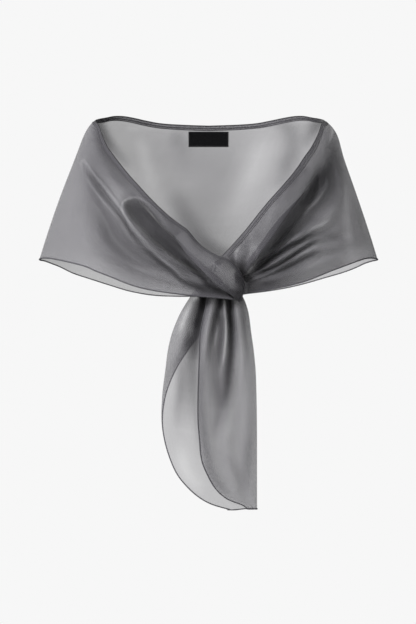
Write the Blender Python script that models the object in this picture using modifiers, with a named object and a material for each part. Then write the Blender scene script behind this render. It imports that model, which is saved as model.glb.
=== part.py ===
"""Evening stole of thin cloth, as worn: round the back and upper arms, knotted in front, one end hanging.

X runs to the right as seen from the front, the front faces -Y and +Z is up. The origin is at the
shoulders, level with the lowest part of the upper edge at the back and midway from side to side.
"""

import math

import bmesh
import bpy
import numpy as np

MM = 0.001

# Driving sizes, in millimetres
WALL = 1.2  # thickness of the cloth wall
SEAM_GAP = 0.3  # between pieces that meet or lie on each other
BAND_WIDTHS = {  # of the narrow doubled band on the upper edge, on each side of each panel's grid
    "back": (7.0, 7.0),
    "over_front": (5.0, 4.0),  # narrower where the neckline rolls and the cloth folds in under it
    "under_front": (4.0, 7.0),
}
LABEL_WIDTH = 58.0
LABEL_HEIGHT = 21.5
LABEL_DROP = 18.4  # middle of the label below the origin
LABEL_WALL = 1.0
LABEL_LIFT = 0.6  # clear of the back, which curves under it
BAND_WALL = 1.0
BAND_LIFT = 0.5  # clear of the panel on both sides
BAND_CREST = 1.4  # how far the band's fold stands over the edge
SIDE_GAP = 0.05  # degrees left between the side line and each panel that meets there
SHOULDER_DEPTH = 48.0  # from the side line forward, at the top of the shoulders
CHEST_SWELL = 100.0  # how much further forward the figure comes lower down
CHEST_LENGTH = 70.0  # how fast it comes forward
BACK_DEPTH = 88.0  # from the side line backward, at the top
BACK_SWELL = 24.0
BACK_LENGTH = 60.0
ROUNDNESS = 2.4  # 2 would make the figure's plan an ellipse

# Half width of the figure at each height
SIDE_LINE = (
    # height, half width
    (-300, 262),
    (-250, 250),
    (-196, 235.5),
    (-157, 223.5),
    (-106, 206.5),
    (-56, 189),
    (-24, 177),
    (-14, 172),
    (-8, 168),
    (-4, 164),
    (0, 159),
    (5, 156),
    (14, 150),
)

# The back, from either side round to the middle
BACK_EDGES = (
    # angle from the side, upper edge, lower edge on the left, lower edge on the right
    (0, 0, -196, -196),
    (11, 3.5, -198, -198),
    (22, 7, -203, -202),
    (30, 10, -208, -206),
    (39, 11, -215, -212.5),
    (48, 9.5, -223, -219),
    (59, 6, -232, -227),
    (68, 3, -239, -233.5),
    (77, 1.5, -244, -239.5),
    (90, 0, -245, -245),
)

# Soft swells and hollows down the back
BACK_FOLDS = (
    # angle from the left side, width in degrees, out at the top, out at the hem
    (30, 9, 1.5, 3),
    (52, 8, -1, -4),
    (70, 10, 1, 4),
    (88, 7, 0, -3),
    (104, 9, 1.5, 4),
    (124, 8, -1, -4),
    (146, 10, 1, 3),
)

# Each row is an edge, a fold line or the hem of a front. It starts on the side line and passes six
# places on its way to the knot. A place is an angle round the figure (0 the left side as seen,
# 90 the middle of the front, 180 the right side), a height, and how far the cloth stands out.
OVER_FRONT = (
    # name, height at the side, shoulder, arm, pleat start, pleat, near the knot, knot
    ("edge", 0, (25, -11, -4), (48, -50, 3), (65, -94, 3),
     (72, -116, 4), (80, -143, 4), (85, -159, 4)),
    ("roll", -3, (25, -14, -3), (46, -54, 4), (64, -98, 4),
     (71, -121, 6), (79, -150, 9), (84, -163, 9)),
    ("band fold", -9, (25, -19, -1), (44, -60, 4), (63, -103, 4),
     (71, -126, 5), (78, -155, 7), (82, -170, 6)),
    ("under fold", -16, (25, -24, 0), (44, -66, 4), (62, -107, 4),
     (70, -130, -5), (79, -161, -9), (83, -174, -8)),
    ("pocket", -24, (25, -31, 1), (43, -71, 3), (61, -111, 4),
     (68, -135, -9), (80, -178, -13), (92, -224, -6)),
    ("pocket wall", -33, (25, -39, 1), (44, -77, 3), (61, -115, 4),
     (66, -137, -5), (79, -184, -9), (92.5, -229, -3.5)),
    ("rim ridge", -42, (25, -47, 1), (44, -82, 3), (60, -119, 4),
     (65, -142, 4), (76, -183, 3), (92.5, -234.5, -0.5)),
    ("trough", -52, (25, -56, 1), (42, -89, 0), (57, -125, 0),
     (63, -144, 0), (75, -189, -2), (93, -238, 0)),
    ("ridge", -64, (25, -66, 1), (42, -96, 2), (56, -128, 2),
     (62, -145, 2), (74, -195, 1.5), (93.5, -241.5, 0)),
    ("soft trough", -98, (25, -98, 1), (47, -125, -2), (55, -148, -3),
     (59, -166, -3), (73, -205, -1), (94, -244.5, 0)),
    ("soft ridge", -133, (25, -134, 1), (48, -161, 1), (55, -177, 2),
     (59, -186, 2), (72, -213, 2), (94, -247, 0)),
    ("low trough", -164, (25, -164, 1), (48, -191, 0), (55, -197, -1),
     (59, -203, -1), (72, -222, -1), (94.5, -249, 0)),
    ("hem", -196, (25, -195.5, 1), (48, -206, 0), (56, -215, 0),
     (61, -221, 0), (74, -237, 0), (95, -250, 0)),
)

UNDER_FRONT = (
    # name, height at the side, shoulder, arm, pleat start, pleat, near the knot, knot
    ("edge", 0, (155, -10, -4), (132, -52, 3), (123, -76, 3),
     (108, -122, 3), (98, -167, 2), (91, -204, -8)),
    ("crest", -3, (155, -13, -3), (134, -57, 4), (126, -81, 5),
     (112, -125, 9), (102, -174, 8), (93, -216, -6)),
    ("fold", -7, (155, -17, -1), (136, -61, 4), (129, -87, 6),
     (114, -141, 11), (103, -192, 9), (96, -231, -5)),
    ("under fold", -12, (155, -21, 0), (137, -67, 3.5), (131, -91, 2),
     (112, -141, 2), (101, -191, 0), (95, -226, -10)),
    ("floor", -18, (155, -26, 1), (137, -72, 3), (133, -96, -1),
     (116, -151, -8), (106, -186, -8), (95, -219, -15)),
    ("first ridge", -30, (155, -38, 1), (139, -85, 2), (133, -109, 2),
     (121, -143, -1), (108, -184, -5), (95, -221.5, -17)),
    ("first dip", -42, (155, -48, 1), (146, -87, 0), (136, -116, 0),
     (122, -151, -3), (108, -189, -5), (95, -224, -17.5)),
    ("second ridge", -68, (155, -70, 1), (148, -103, 3), (136, -138, 3),
     (119, -165, 5), (107, -194, 1), (95, -226.5, -17)),
    ("second dip", -103, (155, -103, 1), (150, -123, 0), (138, -150, 0),
     (120, -172, -2), (107, -200, -3), (95, -229, -16)),
    ("third ridge", -123, (155, -123, 1), (151, -140, 0), (136, -160, 1),
     (119, -179, 2), (106, -207, 2), (95, -231, -14.5)),
    ("third dip", -140, (155, -139, 1), (151, -152, 0), (135, -171, -1),
     (119, -186, -1), (106, -213, -1), (95, -233.5, -13)),
    ("fourth ridge", -156, (155, -154, 1), (149, -166, 1), (133, -182, 1),
     (118, -192, 2), (106, -217, 1), (95, -236, -11.5)),
    ("fourth dip", -169, (155, -167, 1), (150, -175, 0), (133, -190, -1),
     (118, -201, -1), (105, -222, -1), (95, -238.5, -10)),
    ("low ridge", -181, (155, -179, 1), (148, -185, 1), (131, -198, 1),
     (116, -214, 2.5), (105, -228, 1), (95, -241, -8)),
    ("hem", -196, (155, -195.5, 1), (147, -199, 0), (131, -212, 0),
     (116, -226, 0), (104, -236, 0), (95, -243.5, -6)),
)

# The knot's outer strand, section by section, from the end of the left front to where it turns
# behind. It begins as that front's own rows from the edge to the under fold.
KNOT_BAND = (
    # upper x, upper z, lower x, lower z, y of the upper edge, y of its middle, y of the lower fold,
    # how far the cloth tucked under the fold lies behind it
    (-11, -180, -28, -193, -145, -154, -151, 7),
    (9, -193, -14, -208, -149, -160, -156, 7),
    (27, -200, 1, -224, -150, -163, -159, 7),
    (39, -212, 15, -237, -150, -162, -158, 7),
    (46, -225, 29, -246, -148, -157, -154, 6),
    (49, -240, 41, -256, -142, -147, -146, 5),
)
KNOT_ROWS = (2, 2, 3)  # steps from the edge to the roll, the band fold and the under fold
KNOT_CREST = 0.4  # share of the way down where the strand stands out most
KNOT_TUCK = 0.75  # share of the way down that the tucked cloth reaches back up to
KNOT_START = 3 * SEAM_GAP  # between the end of the left front and the strand

# Outlines of the tail at each height: the turned-under left edge, the left fold, the right fold
# and the left edge of the front layer
TAIL_OUTLINE = (
    # height, turned edge, left, right, front edge
    (-239, -7, -19, 42, 0),
    (-249, -6, -25, 46, -1),
    (-269, -5, -37, 53, -5),
    (-282, -7, -43, 55, -8),
    (-298, -12, -49, 57, -11),
    (-319, -27, -54, 59, -12),
    (-346, -44, -58, 62, -13),
    (-379, -58, -62, 63, -14),
    (-412, -60, -63, 64, -14),
    (-439, -56, -59, 64, -12),
    (-466, -48, -51, 64, -7),
    (-486, -36, -41, 64, 1),
    (-503, -19, -27, 64, 11),
    (-516, 0, -11, 64, 26),
    (-525, 22, 6, 64, 43),
    (-531, 47, 29, 64, 52),
)

# Lines across the tail: where each lies between two of the outlines, and its depth, at the top
# where the cloth is gathered and lower down where it hangs flat
TAIL_LINES = (
    # name, from, to, share at the top, share low down, y at the top, y low down
    ("turned edge", "turned", "left", 0.0, 0.0, -118, -125),
    ("turned middle", "turned", "left", 0.55, 0.5, -117, -124.5),
    ("left fold", "left", "right", 0.0, 0.0, -121, -127),
    ("first crest", "left", "right", 0.13, 0.16, -131, -130),
    ("first hollow", "left", "right", 0.30, 0.36, -122, -128),
    ("back middle", "left", "right", 0.52, 0.56, -127, -129),
    ("back right", "left", "right", 0.80, 0.80, -124, -128),
    ("right fold", "left", "right", 1.0, 1.0, -131, -130),
    ("third crest", "right", "front", 0.26, 0.16, -143, -134),
    ("second hollow", "right", "front", 0.40, 0.34, -130.5, -132.5),
    ("thin ridge", "right", "front", 0.53, 0.52, -138, -135),
    ("stripe", "right", "front", 0.66, 0.68, -135, -133),
    ("second crest", "right", "front", 0.84, 0.86, -142, -135),
    ("front edge", "right", "front", 1.0, 1.0, -136, -133),
)
GATHER_TOP = -249.0  # the pleats are fully drawn in here
GATHER_END = -375.0  # and have opened out here
PASS_BACK = 24.0  # how far back the tail passes behind the knot
PASS_TOP = -244.0  # it is all the way back above here
PASS_END = -276.0  # and has come forward here

# How finely each piece is divided
ALONG_STEPS = (4, 4, 3, 3, 4, 4)  # from the side to the knot, between the places of a front
OVER_STEPS = KNOT_ROWS + (3,) * 9  # from row to row of each front
UNDER_STEPS = (2, 2) + (3,) * 6 + (2,) * 6
KNOT_STEPS = (3,) + (2,) * 5
TAIL_ACROSS = (2,) * 13
TAIL_DOWN = (2,) * 15
BACK_ROWS = 10
BACK_COLUMNS = 40
BACK_CROWDING = 1.6  # over 1 puts the back's rows closer together near the upper edge
LABEL_ROWS = 3
LABEL_COLUMNS = 8
BAND_ROWS = 3  # on each side of the band's fold
TABLE_STEPS = 4  # between the rows of the two tables that are read by interpolation

CLOTH = (0.10, 0.10, 0.11)
CLOTH_DOUBLED = (0.05, 0.05, 0.055)
LABEL_BLACK = (0.01, 0.01, 0.01)


def smooth(points, steps):
    """Rows of points filled in with smooth curves, so many steps from each row to the next."""
    points = np.asarray(points, float)
    gap = np.sqrt(np.linalg.norm(np.diff(points, axis=0), axis=-1, keepdims=True)) + 1e-6
    slope = np.diff(points, axis=0) / gap
    inner = (slope[1:] * gap[:-1] + slope[:-1] * gap[1:]) / (gap[1:] + gap[:-1])
    tangent = np.concatenate([slope[:1], inner, slope[-1:]])
    rows = []
    for i, count in enumerate(steps):
        for u in np.arange(count) / count:
            ahead = points[i + 1] - points[i]
            leave = tangent[i] * gap[i]
            arrive = tangent[i + 1] * gap[i]
            bend = (3 * ahead - 2 * leave - arrive) * u**2 + (leave + arrive - 2 * ahead) * u**3
            rows.append(points[i] + leave * u + bend)
    rows.append(points[-1])
    return np.array(rows)


def half_width(height):
    line = smooth(SIDE_LINE, [TABLE_STEPS] * (len(SIDE_LINE) - 1))
    return np.interp(height, line[:, 0], line[:, 1])


def front_depth(height):
    return SHOULDER_DEPTH + CHEST_SWELL * (1 - np.exp(np.minimum(height, 0) / CHEST_LENGTH))


def back_depth(height):
    return BACK_DEPTH + BACK_SWELL * (1 - np.exp(np.minimum(height, 0) / BACK_LENGTH))


def on_figure(angle, height, out):
    """Points round the figure: 0 is its left side as seen, 90 the front, 180 the right, -90 the back."""
    angle = np.radians(angle)
    width = half_width(height)
    depth = np.where(np.sin(angle) > 0, front_depth(height), back_depth(height))
    across = -np.sign(np.cos(angle)) * np.abs(np.cos(angle)) ** (2 / ROUNDNESS)
    along = -np.sign(np.sin(angle)) * np.abs(np.sin(angle)) ** (2 / ROUNDNESS)
    lean_x = np.sign(across) * np.abs(across) ** (ROUNDNESS - 1) / width
    lean_y = np.sign(along) * np.abs(along) ** (ROUNDNESS - 1) / depth
    length = np.hypot(lean_x, lean_y)
    x = width * across + out * lean_x / length
    y = depth * along + out * lean_y / length
    return np.stack([x, y, height + 0 * x], axis=-1)


def front_panel(rows, mirrored, row_steps):
    """The cloth of one front: smooth through its rows, and along each from the side to the knot."""
    start = 180 - SIDE_GAP if mirrored else SIDE_GAP
    lines = [[(start, side, 0), *places] for name, side, *places in rows]
    grid = smooth(lines, row_steps)
    grid = smooth(grid.swapaxes(0, 1), ALONG_STEPS).swapaxes(0, 1)
    grid[:, 0, 0] = start
    return on_figure(grid[..., 0], grid[..., 1], grid[..., 2])


def back_edges(angle):
    """Heights of the back's upper and lower edges at an angle from the left side line."""
    table = smooth(BACK_EDGES, [TABLE_STEPS] * (len(BACK_EDGES) - 1))
    from_side = np.minimum(angle, 180 - angle)
    upper, left, right = (np.interp(from_side, table[:, 0], table[:, i]) for i in (1, 2, 3))
    return upper, np.where(angle < 90, left, right)


def back_point(angle, height, out=0.0):
    upper, lower = back_edges(angle)
    share = (height - upper) / (lower - upper)
    for place, width, high, low in BACK_FOLDS:
        swell = np.exp(-(((angle - place) / width) ** 2))
        out = out + swell * (high + (low - high) * share)
    return on_figure(-angle, height, out)


def back_panel():
    """The cloth round the back, from the left side line to the right one."""
    angle = np.linspace(SIDE_GAP, 180 - SIDE_GAP, BACK_COLUMNS + 1)
    upper, lower = back_edges(angle)
    share = np.linspace(0, 1, BACK_ROWS + 1)[:, None] ** BACK_CROWDING
    return back_point(angle, upper + (lower - upper) * share)


def label_plate():
    """A small plate inside the back, just under the band."""
    reach = LABEL_WIDTH / 2 / half_width(-LABEL_DROP)
    spread = math.degrees(math.asin(reach ** (ROUNDNESS / 2)))
    angle = np.linspace(90 - spread, 90 + spread, LABEL_COLUMNS + 1)
    half = LABEL_HEIGHT / 2
    height = np.linspace(half - LABEL_DROP, -half - LABEL_DROP, LABEL_ROWS + 1)[:, None]
    return back_point(angle, height, -(WALL / 2 + LABEL_LIFT + LABEL_WALL / 2))


def knot_strand(front):
    """The strand that goes on from the upper rows of a front, starting just beyond them."""
    sections = [front[: sum(KNOT_ROWS) + 1, -1]]
    for upper_x, upper_z, lower_x, lower_z, upper_y, middle_y, lower_y, tucked in KNOT_BAND:
        upper = np.array((upper_x, upper_y, upper_z))
        lower = np.array((lower_x, lower_y, lower_z))
        middle = upper + (lower - upper) * KNOT_CREST
        middle[1] = middle_y
        tuck = upper + (lower - upper) * KNOT_TUCK
        tuck[1] = lower_y + tucked
        sections.append(smooth((upper, middle, lower, tuck), KNOT_ROWS))
    grid = smooth(sections, KNOT_STEPS)
    ahead = grid[1] - grid[0]
    grid[0] += ahead / np.linalg.norm(ahead, axis=-1, keepdims=True) * KNOT_START
    return grid


def eased(value, start, end):
    """0 at start, 1 at end, level at both."""
    share = np.clip((value - start) / (end - start), 0, 1)
    return share * share * (3 - 2 * share)


def tail_panel():
    outline = smooth(TAIL_OUTLINE, TAIL_DOWN)
    height = outline[:, 0]
    place = dict(zip(("turned", "left", "right", "front"), outline[:, 1:].T))
    loose = eased(height, GATHER_TOP, GATHER_END)
    behind = PASS_BACK * (1 - eased(height, PASS_TOP, PASS_END))
    lines = []
    for name, start, end, share_top, share_low, y_top, y_low in TAIL_LINES:
        share = share_top + (share_low - share_top) * loose
        x = place[start] + (place[end] - place[start]) * share
        y = y_top + (y_low - y_top) * loose + behind
        lines.append(np.stack([x, y, height], axis=-1))
    return smooth(lines, TAIL_ACROSS)


def normals(grid):
    """Unit normals of a grid of points, row direction crossed with column direction."""
    down = np.gradient(grid, axis=0)
    along = np.gradient(grid, axis=1)
    normal = np.cross(down, along)
    return normal / np.linalg.norm(normal, axis=-1, keepdims=True)


def edge_band(grid, near_width, far_width):
    """A narrow band folded over the upper edge of a panel, clear of it on both sides."""
    reach = np.linalg.norm(np.diff(grid, axis=0), axis=-1).cumsum(axis=0)
    reach = np.vstack([0 * reach[:1], reach])
    lean = normals(grid) * (WALL / 2 + BAND_LIFT + BAND_WALL / 2)

    def leg(side, distance):
        """The line at this distance below the edge, on one side of the panel."""
        moved = grid + side * lean
        line = []
        for column in range(grid.shape[1]):
            below = reach[:, column]
            line.append([np.interp(distance, below, moved[:, column, i]) for i in range(3)])
        return np.array(line)

    down = grid[1] - grid[0]
    crest = grid[0] - down / np.linalg.norm(down, axis=-1, keepdims=True) * BAND_CREST
    shares = np.linspace(0, 1, BAND_ROWS + 1)
    near = [leg(1, near_width * share) for share in shares[::-1]]
    far = [leg(-1, far_width * share) for share in shares]
    return np.array([*near, crest, *far])


def material(name, colour, roughness):
    made = bpy.data.materials.new(name)
    made.use_nodes = True
    shader = made.node_tree.nodes["Principled BSDF"]
    shader.inputs["Base Color"].default_value = (*colour, 1)
    shader.inputs["Roughness"].default_value = roughness
    shader.inputs["Metallic"].default_value = 0
    return made


def sheet(name, grid, finish, collection, wall=WALL):
    """A grid of points as a cloth wall of its own: an open surface, thickened."""
    shape = bmesh.new()
    corners = [[shape.verts.new(point * MM) for point in row] for row in grid]
    for upper, lower in zip(corners, corners[1:]):
        for a, b, c, d in zip(upper, upper[1:], lower[1:], lower):
            shape.faces.new((a, b, c, d))
    mesh = bpy.data.meshes.new(name)
    shape.to_mesh(mesh)
    shape.free()
    mesh.shade_smooth()
    piece = bpy.data.objects.new(name, mesh)
    mesh.materials.append(finish)
    thick = piece.modifiers.new("Wall", "SOLIDIFY")
    thick.thickness = wall * MM
    thick.offset = 0
    collection.objects.link(piece)


def main():
    for old in list(bpy.data.objects):
        bpy.data.objects.remove(old)
    collection = bpy.data.collections.new("Evening stole")
    bpy.context.scene.collection.children.link(collection)
    cloth = material("Organza", CLOTH, 0.55)
    band = material("Doubled organza", CLOTH_DOUBLED, 0.55)
    black = material("Woven label", LABEL_BLACK, 0.7)

    panels = {
        "back": back_panel(),
        "over_front": front_panel(OVER_FRONT, False, OVER_STEPS),
        "under_front": front_panel(UNDER_FRONT, True, UNDER_STEPS),
    }
    for name, grid in panels.items():
        sheet(name, grid, cloth, collection)
        sheet("band_" + name, edge_band(grid, *BAND_WIDTHS[name]), band, collection, BAND_WALL)
    sheet("knot_band", knot_strand(panels["over_front"]), cloth, collection)
    sheet("tail", tail_panel(), cloth, collection)
    sheet("label", label_plate(), black, collection, LABEL_WALL)


main()
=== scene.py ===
import math

import bpy
import numpy as np
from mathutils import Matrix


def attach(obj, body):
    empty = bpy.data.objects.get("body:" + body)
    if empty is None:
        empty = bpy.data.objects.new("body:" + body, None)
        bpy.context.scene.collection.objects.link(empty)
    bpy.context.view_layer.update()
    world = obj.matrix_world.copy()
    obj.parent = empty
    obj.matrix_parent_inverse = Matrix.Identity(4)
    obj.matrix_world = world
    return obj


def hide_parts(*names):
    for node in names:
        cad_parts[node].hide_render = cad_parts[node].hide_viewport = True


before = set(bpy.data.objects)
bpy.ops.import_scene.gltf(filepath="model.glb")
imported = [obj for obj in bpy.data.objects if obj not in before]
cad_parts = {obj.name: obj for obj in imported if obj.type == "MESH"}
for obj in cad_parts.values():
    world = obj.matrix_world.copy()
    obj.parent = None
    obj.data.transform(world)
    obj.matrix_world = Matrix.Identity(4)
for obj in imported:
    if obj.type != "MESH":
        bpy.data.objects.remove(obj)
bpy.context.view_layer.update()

mm = 0.001  # lengths in the tables are in millimetres, angles in degrees
curveSteps = 8
foldSteps = 6
fullStrength = 10  # of a fold at one of its places

# the figure that the cloth lies round
figure = {
    "shoulderDepth": 48.0,
    "chestSwell": 100.0,
    "chestLength": 70.0,
    "backDepth": 88.0,
    "backSwell": 24.0,
    "backLength": 60.0,
    "roundness": 2.4,
    "bulgeStart": 0.55,  # share of the half width at which a bulge begins
    "bulges": (
        # side, out by, height, reach
        (-1, -2.4, -42, 60),
        (1, 3.6, -20, 24),
    ),
    "sideLine": (
        # height, half width
        (-300, 262), (-250, 250), (-196, 235.5), (-157, 223.5), (-106, 206.5), (-56, 189), (-24, 177),
        (-14, 172), (-8, 168), (-4, 164), (0, 159), (5, 156), (14, 150),
    ),
}


def smoothRows(points, steps):
    # rows of points filled in with smooth curves, so many steps from each row to the next
    points = np.asarray(points, float)
    gap = np.sqrt(np.linalg.norm(np.diff(points, axis=0), axis=-1, keepdims=True)) + 1e-6
    slope = np.diff(points, axis=0) / gap
    inner = (slope[1:] * gap[:-1] + slope[:-1] * gap[1:]) / (gap[1:] + gap[:-1])
    tangent = np.concatenate([slope[:1], inner, slope[-1:]])
    rows = []
    for i, ahead in enumerate(np.diff(points, axis=0)):
        leave = tangent[i] * gap[i]
        arrive = tangent[i + 1] * gap[i]
        for u in np.arange(steps) / steps:
            bend = (3 * ahead - 2 * leave - arrive) * u**2 + (leave + arrive - 2 * ahead) * u**3
            rows.append(points[i] + leave * u + bend)
    rows.append(points[-1])
    return np.array(rows)


def eased(value, start, end):
    # 0 before the start, 1 past the end, and smooth between them
    share = np.clip((value - start) / (end - start), 0, 1)
    return share * share * (3 - 2 * share)


def halfWidth(height):
    line = smoothRows(figure["sideLine"], curveSteps)
    return np.interp(height, line[:, 0], line[:, 1])


def figureDepth(height, side):
    low = np.minimum(height, 0)
    swell = figure["chestSwell"] * (1 - np.exp(low / figure["chestLength"]))
    backSwell = figure["backSwell"] * (1 - np.exp(low / figure["backLength"]))
    return np.where(side > 0, figure["shoulderDepth"] + swell, figure["backDepth"] + backSwell)


def onFigure(angle, height, out=0.0):
    # 0 is the side on the left from the front, 90 the front, 180 the right side, -90 the back
    angle = np.radians(angle)
    width = halfWidth(height)
    depth = figureDepth(height, np.sin(angle))
    power = 2 / figure["roundness"]
    across = -np.sign(np.cos(angle)) * np.abs(np.cos(angle)) ** power
    along = -np.sign(np.sin(angle)) * np.abs(np.sin(angle)) ** power
    leanX = np.sign(across) * np.abs(across) ** (figure["roundness"] - 1) / width
    leanY = np.sign(along) * np.abs(along) ** (figure["roundness"] - 1) / depth
    length = np.hypot(leanX, leanY)
    x = width * across + out * leanX / length
    for side, wider, middle, reach in figure["bulges"]:
        swell = np.exp(-(((height - middle) / reach) ** 2))
        x = x + side * wider * swell * eased(side * across, figure["bulgeStart"], 1)
    y = depth * along + out * leanY / length
    return np.stack([x, y, height + 0 * x], axis=-1)


def flatPlace(x, z):
    return x, z


def drawFolds(points, folds, placed):
    # how far the small folds lift each point of the cloth, and how much denser and darker they draw it:
    # denser cloth in part, painted shade in the creases and hollows, and thinner cloth as painted highlight
    # where the amount is negative. A fold has its name, width, lift, density and painted shade, and places. A
    # place is two coordinates and a strength, full if left out
    lift = np.zeros(points.shape[:-1])
    densityAndShade = np.zeros(points.shape[:-1])
    for _, width, raised, addedDensityAndShade, places in folds:
        line = np.array([(*placed(*spot[:2]), *(spot[2:] or (fullStrength,))) for spot in places], float)
        line[:, -1] /= fullStrength
        line = smoothRows(line, foldSteps)
        best = np.full(lift.shape, np.inf)
        strength = np.zeros(lift.shape)
        for start, end in zip(line, line[1:]):
            run = end - start
            share = ((points - start[:-1]) @ run[:-1]) / (run[:-1] @ run[:-1])
            share = np.clip(share, 0, 1)
            nearest = start[:-1] + share[..., None] * run[:-1]
            away = np.linalg.norm(points - nearest, axis=-1)
            nearer = away < best
            best = np.where(nearer, away, best)
            strength = np.where(nearer, start[-1] + share * run[-1], strength)
        shape = strength * np.exp(-((best / width) ** 2))
        lift += raised * shape
        densityAndShade += addedDensityAndShade * shape
    return lift, densityAndShade


cloth = {
    "thickness": 0.3,
    "seam": 0.02,  # points of two grids this near are joined
    "body": "root",
}


def gridNormals(grid):
    normal = np.cross(np.gradient(grid, axis=0), np.gradient(grid, axis=1))
    return normal / np.maximum(np.linalg.norm(normal, axis=-1, keepdims=True), 1e-9)


def lengthsAlong(grid, axis):
    # distance along the cloth from its first row or column
    gaps = np.linalg.norm(np.diff(grid, axis=axis), axis=-1)
    run = np.cumsum(gaps, axis=axis)
    start = np.zeros_like(np.take(run, [0], axis=axis))
    return np.concatenate([start, run], axis=axis)


def lineBelow(grid, distance, lift):
    # the points of the cloth this far below its upper edge, lifted off it
    moved = grid + gridNormals(grid) * lift
    below = lengthsAlong(grid, 0)
    columns = range(grid.shape[1])
    return np.array([[np.interp(distance, below[:, j], moved[:, j, i]) for i in range(3)] for j in columns])


def clothObject(name, grids, finish, thickness=cloth["thickness"]):
    # grids are (points, density and painted shade), then the unfolded points if the threads are measured
    # there. The threads of one run on from the end of the one before
    points, faces, threads, densityAndShadeValues = [], [], [], []
    for grid, densityAndShade, *unfolded in grids:
        rows, columns = grid.shape[:2]
        first = len(points)
        along, across = (lengthsAlong([grid, *unfolded][-1], axis) for axis in (1, 0))
        if points:
            along += endAlong[:rows]
            across = np.repeat(endAcross[:rows], columns, axis=1)
        endAlong, endAcross = along[:, -1:], across[:, -1:]
        points += (grid.reshape(-1, 3) * mm).tolist()
        threads += np.stack([along * mm, across * mm], axis=-1).reshape(-1, 2).tolist()
        densityAndShadeValues += (densityAndShade + 0 * along).reshape(-1).tolist()
        for i in range(rows - 1):
            for j in range(columns - 1):
                a = first + i * columns + j
                faces.append((a, a + 1, a + 1 + columns, a + columns))
    mesh = bpy.data.meshes.new(name)
    mesh.from_pydata(points, [], faces)
    threadMap = mesh.uv_layers.new(name="threads")
    corner = np.empty(len(mesh.loops), np.int32)
    mesh.loops.foreach_get("vertex_index", corner)
    threadMap.data.foreach_set("uv", np.array(threads)[corner].astype(np.float32).ravel())
    layer = mesh.attributes.new("densityAndShade", "FLOAT", "POINT")
    layer.data.foreach_set("value", np.array(densityAndShadeValues, np.float32))
    mesh.shade_smooth()
    mesh.materials.append(finish)
    piece = bpy.data.objects.new(name, mesh)
    bpy.context.scene.collection.objects.link(piece)
    if len(grids) > 1:
        seam = piece.modifiers.new("Seam", "WELD")
        seam.merge_threshold = cloth["seam"] * mm
    wall = piece.modifiers.new("Thickness", "SOLIDIFY")
    wall.thickness = thickness * mm
    wall.offset = 0
    return piece


def addNode(tree, kind, inputs, **settings):
    # the outputs of a new node, whose inputs are each a value or a link from another node
    node = tree.nodes.new(kind)
    for key, value in settings.items():
        setattr(node, key, value)
    for key, value in inputs.items():
        if isinstance(value, bpy.types.NodeSocket):
            tree.links.new(value, node.inputs[key])
        else:
            node.inputs[key].default_value = value
    return node.outputs


def compute(tree, operation, *values):
    return addNode(tree, "ShaderNodeMath", dict(enumerate(values)), operation=operation)[0]


organza = {
    "colour": (0.119, 0.115, 0.128),
    "depth": 0.36,  # optical depth of one face; a layer of cloth is two
    "leastDepth": 0.05,
    "paintedShadeStrength": 0.9,  # painted shade: how much darker the colour is drawn where the density and shade value is high
    "roughness": 0.55,
    "sheen": 0.12,
    "sheenRoughness": 0.5,
    "specular": 0.14,
    "threadSize": 0.45,
    "weave": 0.3,  # how much the crossings of the threads change the depth
    "weaveMean": 0.25,
    "slub": 0.14,  # how much thick and thin threads change it
    "noises": (
        # how often the noise changes along and across in a metre, detail
        ((12, 900, 1), 2.0),  # thick threads along
        ((700, 9, 1), 2.0),  # thick threads across
        ((14, 30, 1), 3.0),  # clouds
    ),
    "noiseMean": 0.5,
    "bump": 0.15,
    "bumpHeight": 0.05,
}
waveScale = math.tau / 20  # one wave to each unit of its coordinate


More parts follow.
